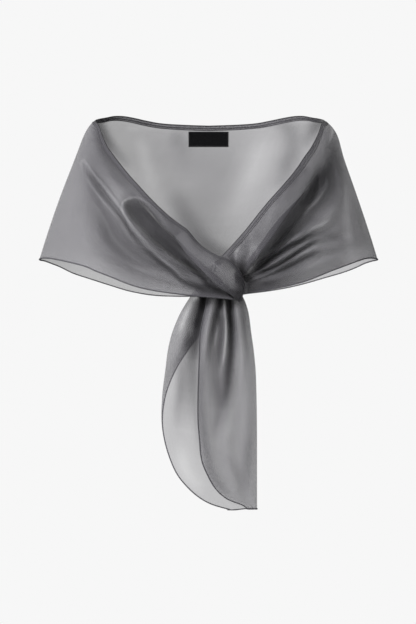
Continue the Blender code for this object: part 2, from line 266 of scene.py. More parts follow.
def clothMaterial(name, **changes):
    look = {**organza, **changes}
    material = bpy.data.materials.new(name)
    material.use_nodes = True
    tree = material.node_tree
    threads = addNode(tree, "ShaderNodeUVMap", {}, uv_map="threads")["UV"]

    def texture(kind, often, inputs, **settings):
        place = addNode(tree, "ShaderNodeMapping", {"Vector": threads, "Scale": often})["Vector"]
        return addNode(tree, kind, {**inputs, "Vector": place}, **settings)["Fac"]

    # warp and weft, as fine crossing waves
    count = 1 / (look["threadSize"] * mm)
    warp = texture("ShaderNodeTexWave", (count, 1, 1), {"Scale": waveScale}, bands_direction="X")
    weft = texture("ShaderNodeTexWave", (1, count, 1), {"Scale": waveScale}, bands_direction="Y")
    weave = compute(tree, "MULTIPLY", warp, weft)
    # thicker threads here and there
    slubs = [texture("ShaderNodeTexNoise", often, {"Scale": 1.0, "Detail": detail})
             for often, detail in look["noises"]]
    slub = compute(tree, "ADD", compute(tree, "ADD", slubs[0], slubs[1]), slubs[2])
    slub = compute(tree, "SUBTRACT", slub, look["noiseMean"] * len(slubs))
    slub = compute(tree, "MULTIPLY", slub, look["slub"])
    crossings = compute(tree, "MULTIPLY", compute(tree, "SUBTRACT", weave, look["weaveMean"]), look["weave"])
    uneven = compute(tree, "ADD", compute(tree, "ADD", slub, 1.0), crossings)
    # the higher the density and painted shade, the less shows through
    densityAndShade = addNode(tree, "ShaderNodeAttribute", {}, attribute_name="densityAndShade")["Fac"]
    depth = compute(tree, "MAXIMUM", compute(tree, "ADD", densityAndShade, look["depth"]), look["leastDepth"])
    depth = compute(tree, "MULTIPLY", depth, uneven)
    seen = compute(tree, "EXPONENT", compute(tree, "MULTIPLY", depth, -1.0))
    # painted shade: the colour is drawn darker where the density and shade value is high
    shade = compute(tree, "MULTIPLY", compute(tree, "MAXIMUM", densityAndShade, 0.0), -look["paintedShadeStrength"])
    shade = compute(tree, "EXPONENT", shade)
    ends = {"A": (0, 0, 0, 1), "B": (*look["colour"], 1), "Factor": shade}
    colour = addNode(tree, "ShaderNodeMix", ends, data_type="RGBA")["Result"]
    relief = {"Strength": look["bump"], "Distance": look["bumpHeight"] * mm, "Height": weave}
    shader = tree.nodes["Principled BSDF"].inputs
    tree.links.new(compute(tree, "SUBTRACT", 1.0, seen), shader["Alpha"])
    tree.links.new(colour, shader["Base Color"])
    tree.links.new(addNode(tree, "ShaderNodeBump", relief)["Normal"], shader["Normal"])
    shader["Roughness"].default_value = look["roughness"]
    shader["Sheen Weight"].default_value = look["sheen"]
    shader["Sheen Roughness"].default_value = look["sheenRoughness"]
    shader["Specular IOR Level"].default_value = look["specular"]
    return material


print("materials")
organzaCloth = clothMaterial("sheerOrganza")
bandCloth = clothMaterial("doubledOrganza", depth=0.3)
hemCloth = clothMaterial("rolledOrganza", depth=1.6, colour=(0.075, 0.073, 0.082))
thread = clothMaterial("sewingThread", depth=3.0, colour=(0.035, 0.034, 0.04))
labelSatin = clothMaterial("labelSatin", depth=4.0, colour=(0.004, 0.004, 0.0045), sheen=0.0, specular=0.06)

back = {
    "rows": 80,
    "columns": 240,
    "closing": 1.6,  # over 1 puts the rows closer together near the upper edge
    "depth": 0.13,  # painted shade: the back is drawn denser and darker than round the hem
    "depthRange": (-170, -220),  # heights over which that fades
    "paintedShadeAndLight": (
        # painted shade where the amount is positive, as denser and darker cloth, and painted light where it
        # is negative, as thinner cloth; places by angle from the left side and height
        ("above the knot", 12.6, 0, 0.4, ((87, -161, 4), (90, -175, 9), (92, -184, 11), (95, -190, 11))),
        ("middle", 44.8, 0, 0.15, ((71, -34, 6), (84, -48), (92, -69), (89, -113), (89, -149))),
        ("under the band", 5.6, 0, -0.1, ((50, -4, 5), (68, -1), (87, 0), (103, -1), (119, -3, 0))),
        ("left shoulder", 9.1, 0, 0.6, ((7, 2), (28, -11), (37, -25, 9), (45, -38, 5), (53, -52, 2))),
        ("left painted light", 11.2, 0, -0.1, ((55, -15, 0), (62, -31), (66, -57), (70, -83, 5))),
        ("by the label", 12.6, 0, 0.14, ((74, -8, 0), (78, -17), (81, -34, 6), (82, -56, 3))),
        ("left hollow", 15.4, 0, 0.28, ((77, -88, 2), (81, -108, 7), (84, -132), (87, -152, 8),
         (89, -170, 5))),
        ("right painted light", 19.6, 0, -0.16, ((117, -12, 3), (111, -34, 8), (105, -65), (100, -100, 7),
         (96, -129, 3))),
        ("right shoulder", 9.8, 0, 0.55, ((173, 2), (152, -6, 8), (139, -22, 3))),
        ("right hollow", 14, 0, 0.3, ((130, 4, 6), (130, -13, 7), (128, -35, 8), (123, -57, 9),
         (119, -77, 5))),
    ),
    "edges": (
        # angle from the side, upper edge, lower edge on the left, lower edge on the right
        (0, 0, -196, -196), (11, 3.5, -196.5, -196.5), (22, 7, -199.8, -199.5),
        (30, 10, -204, -204.4), (39, 11, -212.8, -211.2), (48, 9.5, -220.5, -218),
        (59, 6, -230.6, -227.5), (68, 3, -239.5, -234.5), (77, 1.5, -245, -240),
        (90, 0, -246, -246),
    ),
    "folds": (
        # angle from the left side, width in degrees, out at the top, out at the hem
        (30, 9, 1.5, 3),
        (52, 8, -1, -4),
        (70, 10, 1, 4),
        (88, 7, 0, -3),
        (104, 9, 1.5, 4),
        (124, 8, -1, -4),
        (146, 10, 1, 3),
    ),
}


def backEdges(angle):
    table = smoothRows(back["edges"], curveSteps)
    fromSide = np.minimum(angle, 180 - angle)
    upper, left, right = (np.interp(fromSide, table[:, 0], table[:, i]) for i in (1, 2, 3))
    return upper, np.where(angle < 90, left, right)


def backPoint(angle, height, out=0.0):
    upper, lower = backEdges(angle)
    share = (height - upper) / (lower - upper)
    for place, width, high, low in back["folds"]:
        swell = np.exp(-(((angle - place) / width) ** 2))
        out = out + swell * (high + (low - high) * share)
    return onFigure(-angle, height, out)


def makeBack():
    angle = np.linspace(0, 180, back["columns"] + 1)
    upper, lower = backEdges(angle)
    share = np.linspace(0, 1, back["rows"] + 1)[:, None] ** back["closing"]
    height = upper + (lower - upper) * share
    lift, densityAndShade = drawFolds(backPoint(angle, height), back["paintedShadeAndLight"], backPoint)
    densityAndShade += back["depth"] * (1 - eased(height, *back["depthRange"]))
    grid = backPoint(angle, height, lift)
    return clothObject("backCloth", [(grid, densityAndShade)], organzaCloth), grid


print("back")
backCloth, backGrid = makeBack()

# the two fronts, whose places are an angle, a height and how far out from the figure
leftFront = {
    "rows": (
        # name, height at the side, shoulder, arm, pleat start, pleat, near the knot, knot
        ("edge", 0, (25, -11, -4), (48, -50, 3), (65, -94, 3), (72, -116, 4), (80, -143, 4), (85, -159, 4)),
        ("roll", -3, (25, -14, -3), (46, -54, 4), (64, -98, 4), (71, -121, 6), (79, -150, 9), (84, -163, 9)),
        ("band fold", -9, (25, -19, -1), (44, -60, 4), (63, -103, 4), (71, -126, 5), (78, -155, 7),
         (82, -170, 6)),
        ("under fold", -16, (25, -24, 0), (44, -66, 4), (62, -107, 4), (70, -130, -5), (79, -161, -9),
         (83, -174, -8)),
        ("pocket", -24, (25, -31, 1), (43, -71, 3), (61, -111, 4), (68, -135, -9), (80, -178, -13),
         (92, -224, -6)),
        ("pocket wall", -33, (25, -39, 1), (44, -77, 3), (61, -115, 4), (66, -137, -5), (79, -184, -9),
         (92.5, -229, -3.5)),
        ("rim ridge", -42, (25, -47, 1), (44, -82, 3), (60, -119, 4), (65, -142, 4), (76, -183, 3),
         (92.5, -234.5, -0.5)),
        ("trough", -52, (25, -56, 1), (42, -89, 0), (57, -125, 0), (63, -144, 0), (75, -189, -2),
         (93, -238, 0)),
        ("ridge", -64, (25, -66, 1), (42, -96, 2), (56, -128, 2), (62, -145, 2), (74, -195, 1.5),
         (93.5, -241.5, 0)),
        ("soft trough", -98, (25, -98, 1), (47, -125, -2), (55, -148, -3), (59, -166, -3), (73, -205, -1),
         (94, -244.5, 0)),
        ("soft ridge", -133, (25, -134, 1), (48, -161, 1), (55, -177, 2), (59, -186, 2), (72, -213, 2),
         (94, -247, 0)),
        ("low trough", -164, (25, -164, 1), (48, -191, 0), (55, -197, -1), (59, -203, -1), (72, -222, -1),
         (94.5, -249, 0)),
        ("hem", -196, (25, -195.5, 1), (48, -206, 0), (56, -215, 0), (61, -221, 0), (74, -238, 0),
         (95, -252, 0)),
    ),
    "rowSteps": 10,
    "alongSteps": 28,
    "start": 0,
    "depth": 0.0,
    "thinning": 0.0,
    "folds": (
        # name, width, lift, density and painted shade, places by angle and height: painted shade in the
        # creases, hollows and pocket where the amount is positive, painted highlight on the ridges where it
        # is negative
        ("neckline", 11.2, 0, 0.75, ((25, -9, 8), (40, -34, 14), (49, -57, 15), (57, -81, 14), (64, -100, 12),
         (71, -122), (77, -141, 9), (82, -160), (86, -181, 12), (89, -195), (91, -203, 6))),
        ("arm shade", 23.8, 0, 0.6, ((31, -41, 4), (39, -68, 8), (45, -93), (49, -125, 11), (55, -154, 11),
         (61, -178), (67, -200, 9), (75, -215, 7), (81, -224, 4))),
        ("under the strand", 3.1, -0.5, 1.3, ((85, -201, 5), (87, -212), (89, -223), (90, -233), (93, -244))),
        ("middle shade", 15.4, 0, 0.6, ((64, -157, 6), (69, -176, 9), (75, -192), (80, -208), (85, -221),
         (89, -232, 9))),
        ("long ridge", 2.2, 0.7, -0.3, ((30, -75, 3), (26, -61), (32, -66), (40, -79), (48, -94), (54, -109),
         (58, -120), (62, -133), (65, -145), (69, -161), (73, -176, 8), (77, -191, 4), (80, -200, 0))),
        ("long trough", 3.4, -1.4, 0.45, ((33, -75, 2), (40, -86, 9), (48, -102), (54, -117), (59, -131),
         (64, -148), (68, -164, 8), (73, -180, 5), (76, -192, 0))),
        ("fine line", 1.4, -0.3, 0.35, ((34, -66, 0), (44, -82), (52, -98), (57, -112), (60, -120, 5),
         (64, -138, 8), (68, -154), (72, -169), (76, -184, 6), (80, -195, 0))),
        ("thin ridge", 1.7, 0.4, -0.3, ((34, -80, 0), (41, -94, 8), (48, -110), (54, -126), (59, -141),
         (63, -154, 9), (67, -170, 6), (72, -185, 0))),
        ("short trough", 2, -0.5, 0.35, ((53, -123, 0), (58, -139, 9), (61, -147), (64, -160, 0))),
        ("arm swell", 7, 1, -0.05, ((35, -89, 0), (39, -117, 8), (43, -152), (48, -179, 8), (51, -197, 0))),
        ("arm hollow", 11.2, -1, 0.2, ((49, -126, 0), (55, -148), (60, -173), (66, -194, 8), (72, -210, 5),
         (77, -220, 0))),
        ("pocket rim", 2.1, 0.7, -0.5, ((63, -138, 5), (62, -130), (62, -122), (64, -117), (66, -116),
         (70, -120, 8), (74, -128, 5), (77, -140, 2), (80, -152, 0))),
        ("pocket", 10.5, -2, 1.3, ((65, -127, 7), (69, -136, 10.5), (74, -151, 11), (77, -165, 12),
         (80, -176, 13), (83, -188, 13), (86, -203), (90, -217), (92, -232, 11))),
        ("pocket edge", 2.5, 0.9, -0.35, ((73, -124, 0), (77, -139, 4), (80, -157, 4), (83, -171, 5),
         (86, -189, 7), (88, -204, 3), (90, -221, 0))),
        ("lower edge", 1.8, 0.7, -0.45, ((63, -138, 4), (65, -148), (67, -158), (70, -169), (73, -180),
         (76, -191), (79, -201), (83, -215), (84, -222, 8), (86, -229, 5), (89, -237, 0))),
        ("pocket floor", 4.2, 0, 0.6, ((65, -136, 4), (68, -146, 8), (71, -156), (74, -168), (77, -179),
         (80, -189, 11), (83, -200), (86, -211, 5))),
        ("sharp crease", 1.8, 0.6, -0.6, ((77, -178, 0), (80, -193, 7), (83, -203), (85, -209, 8),
         (87, -216, 0))),
        ("lower trough", 3.1, -1.2, 0.8, ((72, -185, 0), (75, -192, 7), (78, -203), (82, -216), (84, -226),
         (86, -231), (89, -238, 6))),
        ("lower ridge", 4.2, 0.6, -0.2, ((68, -205, 0), (70, -208, 7), (73, -213), (79, -219), (83, -228, 8),
         (86, -237, 0))),
        ("under the knot", 5.6, -1, 1.1, ((84, -229, 0), (87, -234, 5), (89, -238), (91, -242), (94, -246))),
    ),
}

rightFront = {
    "rows": (
        ("edge", 0, (155, -10, -4), (132, -52, 3), (123, -76, 3), (108, -122, 3), (98, -167, 2),
         (91, -204, -8)),
        ("crest", -3, (155, -13, -3), (134, -57, 4), (126, -81, 5), (112, -125, 9), (102, -174, 8),
         (93, -216, -6)),
        ("fold", -7, (155, -17, -1), (136, -61, 4), (129, -87, 6), (114, -141, 11), (103, -192, 9),
         (96, -231, -5)),
        ("under fold", -12, (155, -21, 0), (137, -67, 3.5), (131, -91, 2), (112, -141, 2), (101, -191, 0),
         (95, -226, -10)),
        ("floor", -18, (155, -26, 1), (137, -72, 3), (133, -96, -1), (116, -151, -8), (106, -186, -8),
         (95, -219, -15)),
        ("first ridge", -30, (155, -38, 1), (139, -85, 2), (133, -109, 2), (121, -143, -1), (108, -184, -5),
         (95, -221.5, -17)),
        ("first dip", -42, (155, -48, 1), (146, -87, 0), (136, -116, 0), (122, -151, -3), (108, -189, -5),
         (95, -224, -17.5)),
        ("second ridge", -68, (155, -70, 1), (148, -103, 3), (136, -138, 3), (119, -165, 5), (107, -194, 1),
         (95, -226.5, -17)),
        ("second dip", -103, (155, -103, 1), (150, -123, 0), (138, -150, 0), (120, -172, -2), (107, -200, -3),
         (95, -229, -16)),
        ("third ridge", -123, (155, -123, 1), (151, -140, 0), (136, -160, 1), (119, -179, 2), (106, -207, 2),
         (95, -231, -14.5)),
        ("third dip", -140, (155, -139, 1), (151, -152, 0), (135, -171, -1), (119, -186, -1), (106, -213, -1),
         (95, -233.5, -13)),
        ("fourth ridge", -156, (155, -154, 1), (149, -166, 1), (133, -182, 1), (118, -192, 2), (106, -217, 1),
         (95, -236, -11.5)),
        ("fourth dip", -169, (155, -167, 1), (150, -175, 0), (133, -190, -1), (118, -201, -1),
         (105, -222, -1), (95, -238.5, -10)),
        ("low ridge", -181, (155, -179, 1), (148, -185, 1), (131, -198, 1), (116, -214, 2.5), (105, -228, 1),
         (95, -241, -8)),
        ("hem", -196, (155, -195.5, 1), (147, -199, 0), (131, -212, 0), (116, -229.5, 0), (104, -240, 0),
         (95, -247, -6)),
    ),
    "rowSteps": 9,
    "alongSteps": 28,
    "start": 180,
    # painted shade: the right front, away from the key light, is drawn denser and darker all over
    "depth": 0.3,
    "thinning": 1.6,
    "folds": (
        # name, width, lift, density and painted shade, places by angle and height: painted shade in the
        # creases and on the shaded side where the amount is positive, painted highlight on the ridges where
        # it is negative
        ("right shade", 23.8, 0, 0.55, ((138, -93, 6), (129, -116, 8), (123, -138, 9), (118, -162),
         (114, -186, 11), (110, -208, 13), (105, -221, 15), (101, -232, 15))),
        ("by the knot", 3.4, 0, 1.1, ((94, -196, 4), (95, -200), (97, -208), (98, -216, 8))),
        ("by the pucker", 6.3, 0, 1.1, ((99, -175, 3), (97, -179, 6), (95, -185, 9), (95, -193, 12),
         (95, -201))),
        ("knot shade", 9.8, 0, 0.6, ((97, -203, 6), (98, -216, 6), (100, -232, 8), (103, -240, 4))),
        ("deep fold", 9.8, -1.2, 1.15, ((153, -52, 1), (143, -73, 5), (134, -92, 9.5), (126, -115, 6.5),
         (118, -138, 4.5), (113, -162, 7), (108, -187, 9), (103, -208))),
        ("shoulder shade", 16.8, 0, 0.42, ((154, -26, 3), (153, -58), (144, -90, 9), (137, -112, 5),
         (130, -129, 0))),
        ("short ridge", 2.5, 0.6, -0.45, ((141, -84, 0), (138, -96, 8), (134, -108), (129, -121),
         (124, -132, 7), (121, -142, 0))),
        ("first ridge", 2.8, 0.6, -0.4, ((136, -142, 0), (130, -150, 7), (125, -156), (120, -165),
         (115, -172), (112, -178), (109, -185), (106, -191, 9), (103, -197, 0))),
        ("first trough", 2.5, -1, 0.7, ((126, -162, 0), (122, -167, 6), (117, -176), (113, -181), (110, -189),
         (107, -196), (104, -206))),
        ("second ridge", 2.2, 0.5, -0.4, ((122, -173, 0), (119, -179, 8), (114, -189), (110, -197),
         (107, -204), (105, -210, 8), (102, -215, 0))),
        ("second trough", 2.5, -0.9, 0.6, ((127, -171, 0), (123, -177, 7), (118, -186), (112, -200),
         (107, -210), (104, -215))),
        ("third ridge", 2.2, 0.4, -0.35, ((128, -177, 0), (123, -183, 8), (118, -191), (114, -200),
         (110, -206, 0))),
        ("third trough", 2.8, -0.8, 0.45, ((127, -185, 0), (122, -192), (115, -204), (111, -212, 8),
         (107, -217, 0))),
        ("low ridge", 4.2, 0.4, -0.1, ((132, -192, 0), (126, -199, 8), (122, -206), (117, -213), (112, -219),
         (107, -224), (102, -229, 5))),
        ("low trough", 4.2, -1, 0.6, ((98, -223), (102, -229), (105, -231, 8), (109, -231, 0))),
        ("arm swell", 8.4, 1, -0.2, ((155, -88, 0), (151, -111, 8), (146, -142), (143, -172, 8),
         (142, -191, 4))),
        ("side shade", 5.6, 0, 0.12, ((161, -110, 0), (159, -135), (157, -162, 6), (157, -184, 0))),
        ("broad swell", 5.6, 0.5, -0.2, ((141, -123, 0), (136, -132, 8), (128, -152), (122, -159, 3))),
        ("arm hollow", 4.2, -0.8, 0.15, ((126, -165, 0), (132, -166), (138, -172, 8), (144, -177, 0))),
        ("hem painted light", 11.2, 0, -0.2, ((133, -202, 0), (140, -199), (150, -190), (159, -184, 5))),
        ("neckline side", 7.7, 0, 0.45, ((126, -80, 8), (120, -97, 12), (114, -114, 11), (110, -132, 7),
         (106, -149, 6), (103, -168, 6))),
        ("neckline stripe", 4.5, 0.4, -0.3, ((128, -77, 0), (125, -85, 8), (120, -101), (115, -111),
         (112, -125), (109, -134), (107, -145), (105, -157, 8), (103, -172, 0))),
        ("pucker rim", 2, 0.2, -0.7, ((99, -176, 2), (97, -183, 8), (96, -191), (96, -197), (96, -205, 8))),
        ("inner crease", 1.7, 0, -0.35, ((101, -183, 2), (100, -189, 8), (100, -196), (99, -204, 6))),
        ("pucker far rim", 2.5, 0, -0.45, ((101, -181, 2), (102, -187, 7), (102, -195), (102, -204, 12),
         (100, -212, 12), (99, -217, 7))),
        ("pucker", 4.2, -0.4, 0.7, ((99, -184, 3), (99, -192, 6), (98, -200, 8), (98, -208, 16),
         (98, -213, 12))),
        ("shoulder ridge", 2.5, 0.6, -0.3, ((169, -9, 5), (166, -15), (155, -29), (149, -40, 0))),
    ),
}
thinAngles = (98, 93)


def frontGrid(settings):
    lines = [[(settings["start"], side, 0), *places] for _, side, *places in settings["rows"]]
    grid = smoothRows(lines, settings["rowSteps"])
    grid = smoothRows(grid.swapaxes(0, 1), settings["alongSteps"]).swapaxes(0, 1)
    grid[:, 0, 0] = settings["start"]
    angle, height, out = grid[..., 0], grid[..., 1], grid[..., 2]
    lift, densityAndShade = drawFolds(onFigure(angle, height), settings["folds"], onFigure)
    # a density and painted shade over the whole front, and thin where it ends under the knot, so that its end
    # doesn't show through
    densityAndShade += settings["depth"] - settings["thinning"] * eased(angle, *thinAngles)
    return onFigure(angle, height, out + lift), densityAndShade


knot = {
    "sections": (
        # upper x, upper z, lower x, lower z, y of the upper edge, y of its middle, y of the lower fold,
        # how far the cloth tucked under the fold lies behind it
        (-11, -180, -28, -193, -145, -154, -151, 7), (9, -193, -14, -208, -149, -160, -156, 7),
        (27, -200, 1, -224, -150, -163, -159, 7), (39, -212, 15, -237, -150, -162, -158, 7),
        (46, -225, 29, -246, -148, -157, -154, 6), (49, -240, 41, -256, -142, -147, -146, 5),
    ),
    "rows": 3,  # of the front's rows, from its edge to its under fold
    "leadIn": 9,  # columns back from the front's end, where the strand takes its direction
    "alongSteps": 12,
    "crest": 0.4,
    "tuck": 0.75,
    "gathered": 0.7,  # share of the front's density and painted shade that carries on into the knot
    "folds": (
        # painted shade where the amount is positive and painted highlight where it is negative; places by x
        # and z
        ("lower ridge", 2.6, 0.5, -0.3, ((-26, -190, 5), (-16, -202), (-6, -214), (7, -226), (23, -238, 3))),
        ("soft ridge", 5.2, 0.8, -0.2, ((-5, -195, 5), (12, -208), (28, -223), (39, -237, 5))),
        ("upper shade", 4.5, 0, 0.35, ((9, -198, 6), (25, -202), (38, -213), (45, -226, 8))),
        ("end shade", 9, 0, 0.45, ((47, -222, 5), (47, -234), (43, -249))),
        ("lower shade", 3, -0.5, 0.6, ((14, -240, 5), (28, -247), (41, -254))),
    ),
}


def knotGrid(front):
    last = knot["rows"] * leftFront["rowSteps"] + 1
    sections = [front[:last, -1 - knot["leadIn"]], front[:last, -1]]
    for upperX, upperZ, lowerX, lowerZ, upperY, middleY, lowerY, tucked in knot["sections"]:
        upper = np.array((upperX, upperY, upperZ))
        lower = np.array((lowerX, lowerY, lowerZ))
        middle = upper + (lower - upper) * knot["crest"]
        middle[1] = middleY
        tuck = upper + (lower - upper) * knot["tuck"]
        tuck[1] = lowerY + tucked
        sections.append(smoothRows((upper, middle, lower, tuck), leftFront["rowSteps"]))
    grid = smoothRows(sections, knot["alongSteps"])[knot["alongSteps"] :]
    return grid.swapaxes(0, 1)


def makeLeftFront():
    front, densityAndShade = frontGrid(leftFront)
    strand = knotGrid(front)
    unfolded = strand.copy()
    lift, strandDensityAndShade = drawFolds(strand[..., [0, 2]], knot["folds"], flatPlace)
    strand[:, 1:, 1] -= lift[:, 1:]
    strandDensityAndShade += densityAndShade[: len(strand), -1:] * knot["gathered"]
    grids = [(front, densityAndShade), (strand, strandDensityAndShade, unfolded)]
    return clothObject("leftFrontCloth", grids, organzaCloth), front, strand


print("fronts and knot")
leftFrontCloth, leftGrid, strandGrid = makeLeftFront()
rightGrid, rightDensityAndShade = frontGrid(rightFront)
rightFrontCloth = clothObject("rightFrontCloth", [(rightGrid, rightDensityAndShade)], organzaCloth)

tail = {
    "outline": (
        # height, turned edge, left, right, front edge
        (-206, 6, 3, 22, 10), (-222, -1, -8, 32, 5), (-239, -7, -19, 42, 0),
        (-249, -6, -25, 46, -1), (-256, -5.7, -29.5, 49.2, -2.4), (-269, -5, -37, 53, -5),
        (-282, -7, -43, 55, -8), (-298, -12, -49, 57, -11), (-319, -27, -54, 60, -12),
        (-346, -44, -57.5, 62.6, -13), (-379, -57, -61.5, 63.8, -14), (-412, -61.5, -62.5, 64.3, -14),
        (-439, -58.5, -59, 64.5, -12), (-466, -50.5, -51, 64.5, -9), (-486, -41, -41.5, 64.5, -1),
        (-503, -27, -28, 64.5, 9), (-516, -12, -13, 64.5, 23), (-525, 4.5, 3.5, 64.5, 43),
        (-532, 28, 26, 64.5, 52),
    ),
    "lines": (
        # name, from, to, share at the top, share low down, y at the top, y low down
        ("turned edge", "turned", "left", 0, 0, -118, -125),
        ("turned middle", "turned", "left", 0.55, 0.5, -117, -124.5),
        ("left fold", "left", "right", 0, 0, -121, -127),
        ("first crest", "left", "right", 0.13, 0.16, -131, -130),
        ("first hollow", "left", "right", 0.3, 0.36, -122, -128),
        ("back middle", "left", "right", 0.52, 0.56, -127, -129),
        ("back right", "left", "right", 0.8, 0.8, -124, -128),
        ("right fold", "left", "right", 1, 1, -131, -130),
        ("third crest", "right", "front", 0.26, 0.16, -143, -134),
        ("second hollow", "right", "front", 0.4, 0.34, -130.5, -132.5),
        ("thin ridge", "right", "front", 0.53, 0.52, -138, -135),
        ("stripe", "right", "front", 0.66, 0.68, -135, -133),
        ("second crest", "right", "front", 0.84, 0.86, -142, -135),
        ("front edge", "right", "front", 1, 1, -136, -133),
    ),
    "gathered": (-249, -375),  # heights over which it opens out
    "passBack": 13,  # behind the fronts' hem
    "passing": (-244, -276),
    "acrossSteps": 8,
    "downSteps": 12,
    "frontRow": 7,  # the line where the cloth turns back to the front
    "thinning": 1.6,
    "thinHeights": (-246, -226),
    "endRise": 1.6,  # how much higher the end hangs at its straight side
    "endRiseX": (34, 52),
    "endRiseHeights": (-512, -532),
    "frontFolds": (
        # painted shade where the amount is positive and painted highlight where it is negative; places by x
        # and z
        ("upper shade", 17.3, 0, 0.55, ((10, -248, 12), (9, -269, 11), (6, -293), (9, -319, 9), (14, -348, 8),
         (17, -375, 7), (17, -402, 3))),
        ("deep gap", 4.8, -1.5, 1.9, ((27, -248, 11), (29, -267, 11), (31, -289), (31, -306, 8.5),
         (30, -323, 6.5), (27, -346, 5.5), (25, -364, 4), (22, -380, 2.5), (19, -399, 0))),
        ("stripe", 4, -0.8, 0.9, ((17, -248, 15), (14, -261, 12), (11, -274, 9), (7, -291, 6), (2, -309, 4),
         (-1, -323, 3), (-1, -338, 0))),
        ("by the thin ridge", 3.5, -0.5, 0.95, ((17, -253, 7), (17, -274, 11), (17, -298), (15, -319, 7),
         (14, -335, 3), (14, -348, 0))),
        ("thin ridge", 1.9, 0.4, -0.55, ((21, -250, 8), (21, -261), (23, -281), (23, -299), (22, -313, 9),
         (20, -330, 8), (17, -343, 4), (13, -359, 0))),
        ("thin line", 1.6, 0.5, -0.4, ((12, -277, 0), (11, -295), (9, -309, 8), (7, -322, 0))),
        ("second crest", 3.7, 0.8, -0.35, ((5, -250, 3), (2, -267, 8), (-1, -281), (-3, -299, 8),
         (-5, -323, 5), (-6, -339, 0))),
        ("knot shadow", 5.3, 0, 0.8, ((-1, -245), (15, -248), (31, -248), (44, -250, 6))),
        ("third crest shade", 12, 0, 0.5, ((42, -248, 12), (43, -269, 9), (44, -293, 7), (46, -319, 5),
         (46, -346, 3), (46, -372, 1))),
        ("third crest", 3.2, 0.8, -0.2, ((37, -256, 0), (39, -274), (42, -295), (44, -316), (44, -337, 8),
         (43, -366, 4), (41, -392, 0))),
        ("third stripe", 1.9, -0.4, 0.22, ((43, -256, 0), (46, -267), (48, -295), (51, -316, 6),
         (54, -346, 0))),
        ("right side", 6.7, 0, 0.16, ((58, -319, 0), (58, -348, 6), (58, -386, 8), (56, -426), (52, -459, 15),
         (50, -487, 13), (50, -508, 4))),
        ("fold shade", 6, 0, 0.3, ((-9, -322, 3), (-10, -348, 8), (-10, -386, 9), (-7, -419, 9),
         (-3, -452, 9), (3, -481, 9), (15, -500, 6), (29, -513, 0))),
        ("low hollow", 4.7, -0.6, 0.25, ((7, -348, 0), (14, -375), (15, -399, 9), (10, -423, 6),
         (6, -439, 0))),
        ("low painted light", 5.3, 0.6, -0.12, ((37, -364, 0), (33, -386, 8), (29, -412), (25, -431, 6),
         (19, -441, 0))),
        ("hem fall", 6.7, 0, 0.15, ((23, -455, 0), (34, -473, 7), (42, -492), (44, -508, 4))),
    ),
    "backFolds": (
        # painted shade where the amount is positive and painted highlight where it is negative; places by x
        # and z
        ("deep gap", 6, -1, 2.2, ((-4, -245, 11), (-6, -261, 11), (-9, -274), (-12, -285, 9),
         (-14, -297, 5.5), (-16, -310, 3), (-18, -327, 1))),
        ("fold crest", 4, 0.8, -0.15, ((-17, -250, 4), (-24, -259, 8), (-31, -275), (-36, -288),
         (-39, -301, 0))),
        ("inner side", 5.3, 0, 0.45, ((-17, -258, 5), (-21, -274, 5), (-25, -290, 4), (-27, -306, 5.5),
         (-35, -322, 3.5), (-43, -337, 2), (-51, -354, 1), (-56, -370, 0))),
        ("soft shade", 9.3, 0, 0.55, ((-14, -298, 2), (-21, -311, 12), (-23, -327), (-25, -348, 7),
         (-26, -372, 5), (-27, -396, 3), (-29, -426, 0))),
        ("left stripe", 6.7, 0, 0.28, ((-37, -335, 6), (-37, -356), (-38, -378), (-41, -402, 6),
         (-41, -426, 1))),
        ("fold shade", 6.7, 0, 0.3, ((-15, -322, 3), (-17, -348, 8), (-17, -386, 8), (-14, -419, 6),
         (-10, -447, 3), (-6, -465, 0))),
        ("low painted light", 10.6, 0, -0.12, ((-35, -439, 0), (-35, -460, 8), (-30, -479), (-17, -497, 7),
         (-3, -511, 0))),
    ),
}


def tailGrid():
    outline = smoothRows(tail["outline"], tail["downSteps"])
    height = outline[:, 0]
    place = dict(zip(("turned", "left", "right", "front"), outline[:, 1:].T))
    loose = eased(height, *tail["gathered"])
    behind = tail["passBack"] * (1 - eased(height, *tail["passing"]))
    lines = []
    for _, start, end, shareTop, shareLow, yTop, yLow in tail["lines"]:
        x = place[start] + (place[end] - place[start]) * (shareTop + (shareLow - shareTop) * loose)
        y = yTop + (yLow - yTop) * loose + behind
        rise = tail["endRise"] * eased(x, *tail["endRiseX"]) * eased(height, *tail["endRiseHeights"])
        lines.append(np.stack([x, y, height + rise], axis=-1))
    return smoothRows(lines, tail["acrossSteps"])


def makeTail():
    grid = tailGrid()
    flat = grid[..., [0, 2]]
    densityAndShade = np.zeros(grid.shape[:-1])
    turn = tail["frontRow"] * tail["acrossSteps"]
    for rows, folds in ((slice(0, turn), tail["backFolds"]), (slice(turn, None), tail["frontFolds"])):
        lift, densityAndShade[rows] = drawFolds(flat[rows], folds, flatPlace)
        grid[rows, :, 1] -= lift
    # thin where it runs up behind the knot, so that it doesn't show through
    densityAndShade -= tail["thinning"] * eased(grid[..., 2], *tail["thinHeights"])
    return clothObject("tailCloth", [(grid, densityAndShade)], organzaCloth), grid


print("tail")
tailCloth, tailPoints = makeTail()

# the doubled band folded over the upper edge
band = {
    "lift": 0.35,
    "crest": 0.9,
    "rows": 8,
    # how wide it is on the outside and on the inside
    "back": (7.0, 7.0),
    "left": (5.0, 4.0),
    "right": (4.0, 7.0),
    # how much denser and darker it is drawn, from its lower edge to its fold
    "lines": (1.6, 0.3, 0.0, 0.1, 1.1, 0.1, 0.0, 0.2, 1.8),
    # painted shade: the band's shoulder corners are drawn denser and darker
    "corners": ((-152, 10, 8), (154, 10, 8)),
    "cornerReach": 30.0,
    "cornerDensityAndShade": 1.5,
    "frontDensityAndShade": -0.2,
    "stitchDrop": 4.6,  # from the upper edge to the line of machine stitches
    "stitchLift": 0.62,
}


